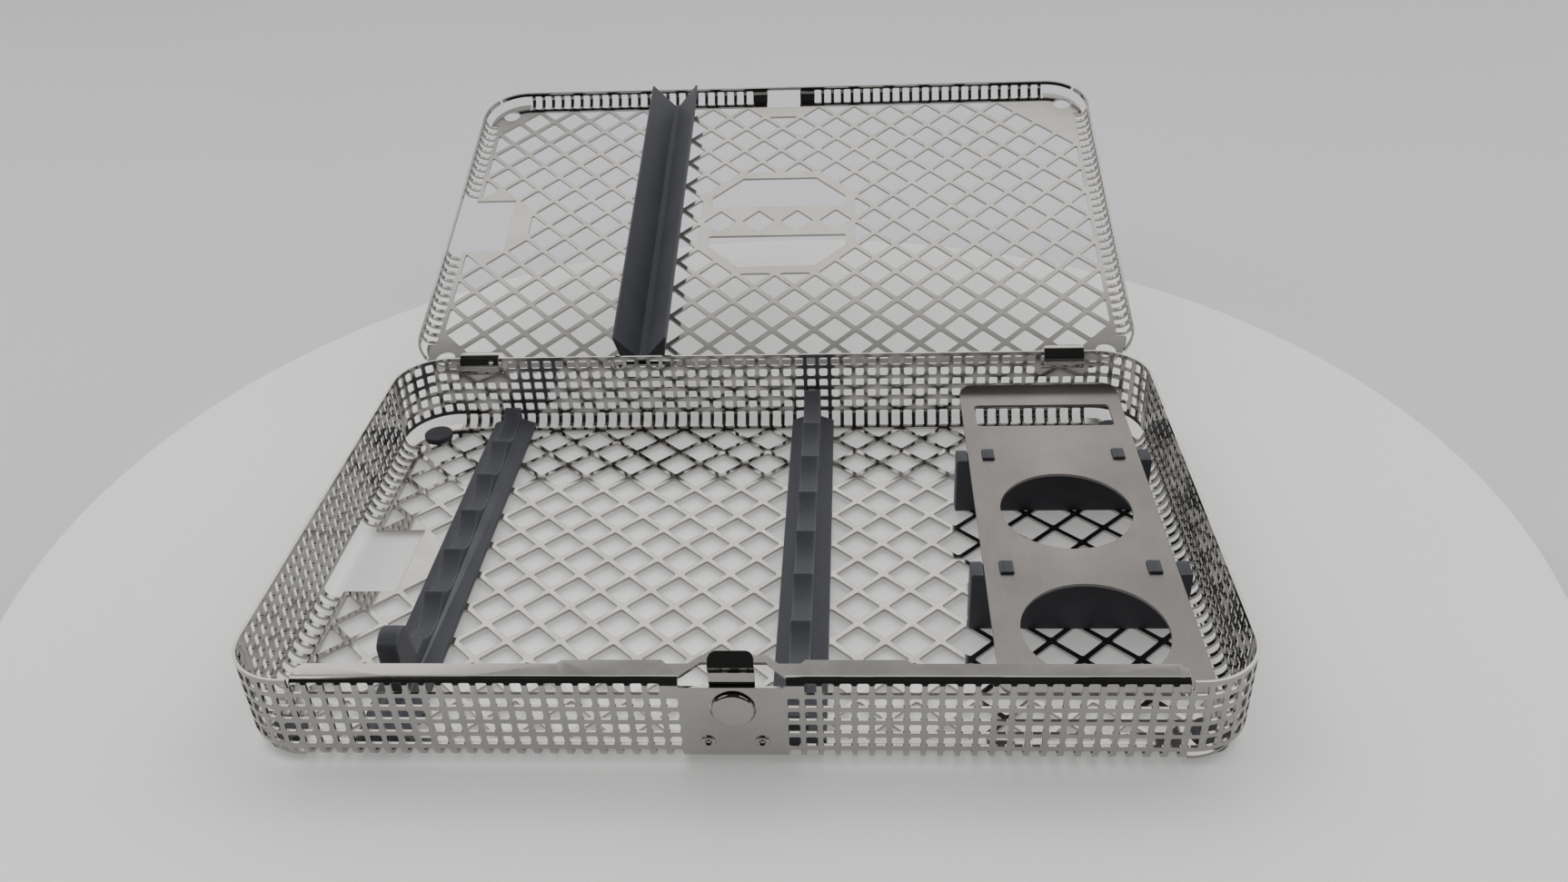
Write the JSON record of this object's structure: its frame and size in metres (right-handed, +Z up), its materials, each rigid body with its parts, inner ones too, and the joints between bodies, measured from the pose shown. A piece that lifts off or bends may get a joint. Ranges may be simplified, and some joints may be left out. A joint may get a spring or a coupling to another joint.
{
  "type": "instrument wash basket",
  "caption": "Perforated steel wash basket with a hinged lattice lid, front latch, perforated holder plate and silicone rest bars, standing open.",
  "frame": {"origin": "middle of the open basket's box, on the surface it stands on", "axes": "+X along the basket's long side to the right, +Y from the latch towards the hinge, +Z up"},
  "size_m": [0.28, 0.3574, 0.0855],
  "materials": {
    "polished_steel": "bright electropolished",
    "brushed_plate": "satin brushed",
    "silicone": "matte"
  },
  "bodies": {
    "base": {"base_tray": "polished_steel", "latch_rivets": "polished_steel", "foot_front_left": "silicone", "foot_front_right": "silicone", "foot_back_left": "silicone", "foot_back_right": "silicone", "rest_bar_left": "silicone", "rest_bar_centre": "silicone", "holder_plate": "brushed_plate", "holder_bar_front": "silicone", "holder_bar_back": "silicone"},
    "lid": {"lid_tray": "polished_steel", "lid_bar": "silicone", "hinge_hook_left": "polished_steel", "hinge_hook_right": "polished_steel"},
    "latch": {"latch_leaf": "polished_steel", "latch_button": "polished_steel"}
  },
  "joints": [
    {"name": "lid_hinge", "type": "hinge", "parent": "base", "child": "lid", "pos_m": [0, 0.00413, 0.0279], "axis": [1, 0, 0], "range_deg": [0, 162.4]},
    {"name": "latch_press", "type": "hinge", "parent": "base", "child": "latch", "pos_m": [0, -0.17583, 0.009], "axis": [-1, 0, 0], "range_deg": [0, 4.2], "stiffness_Nm_per_rad": 1.5}
  ]
}
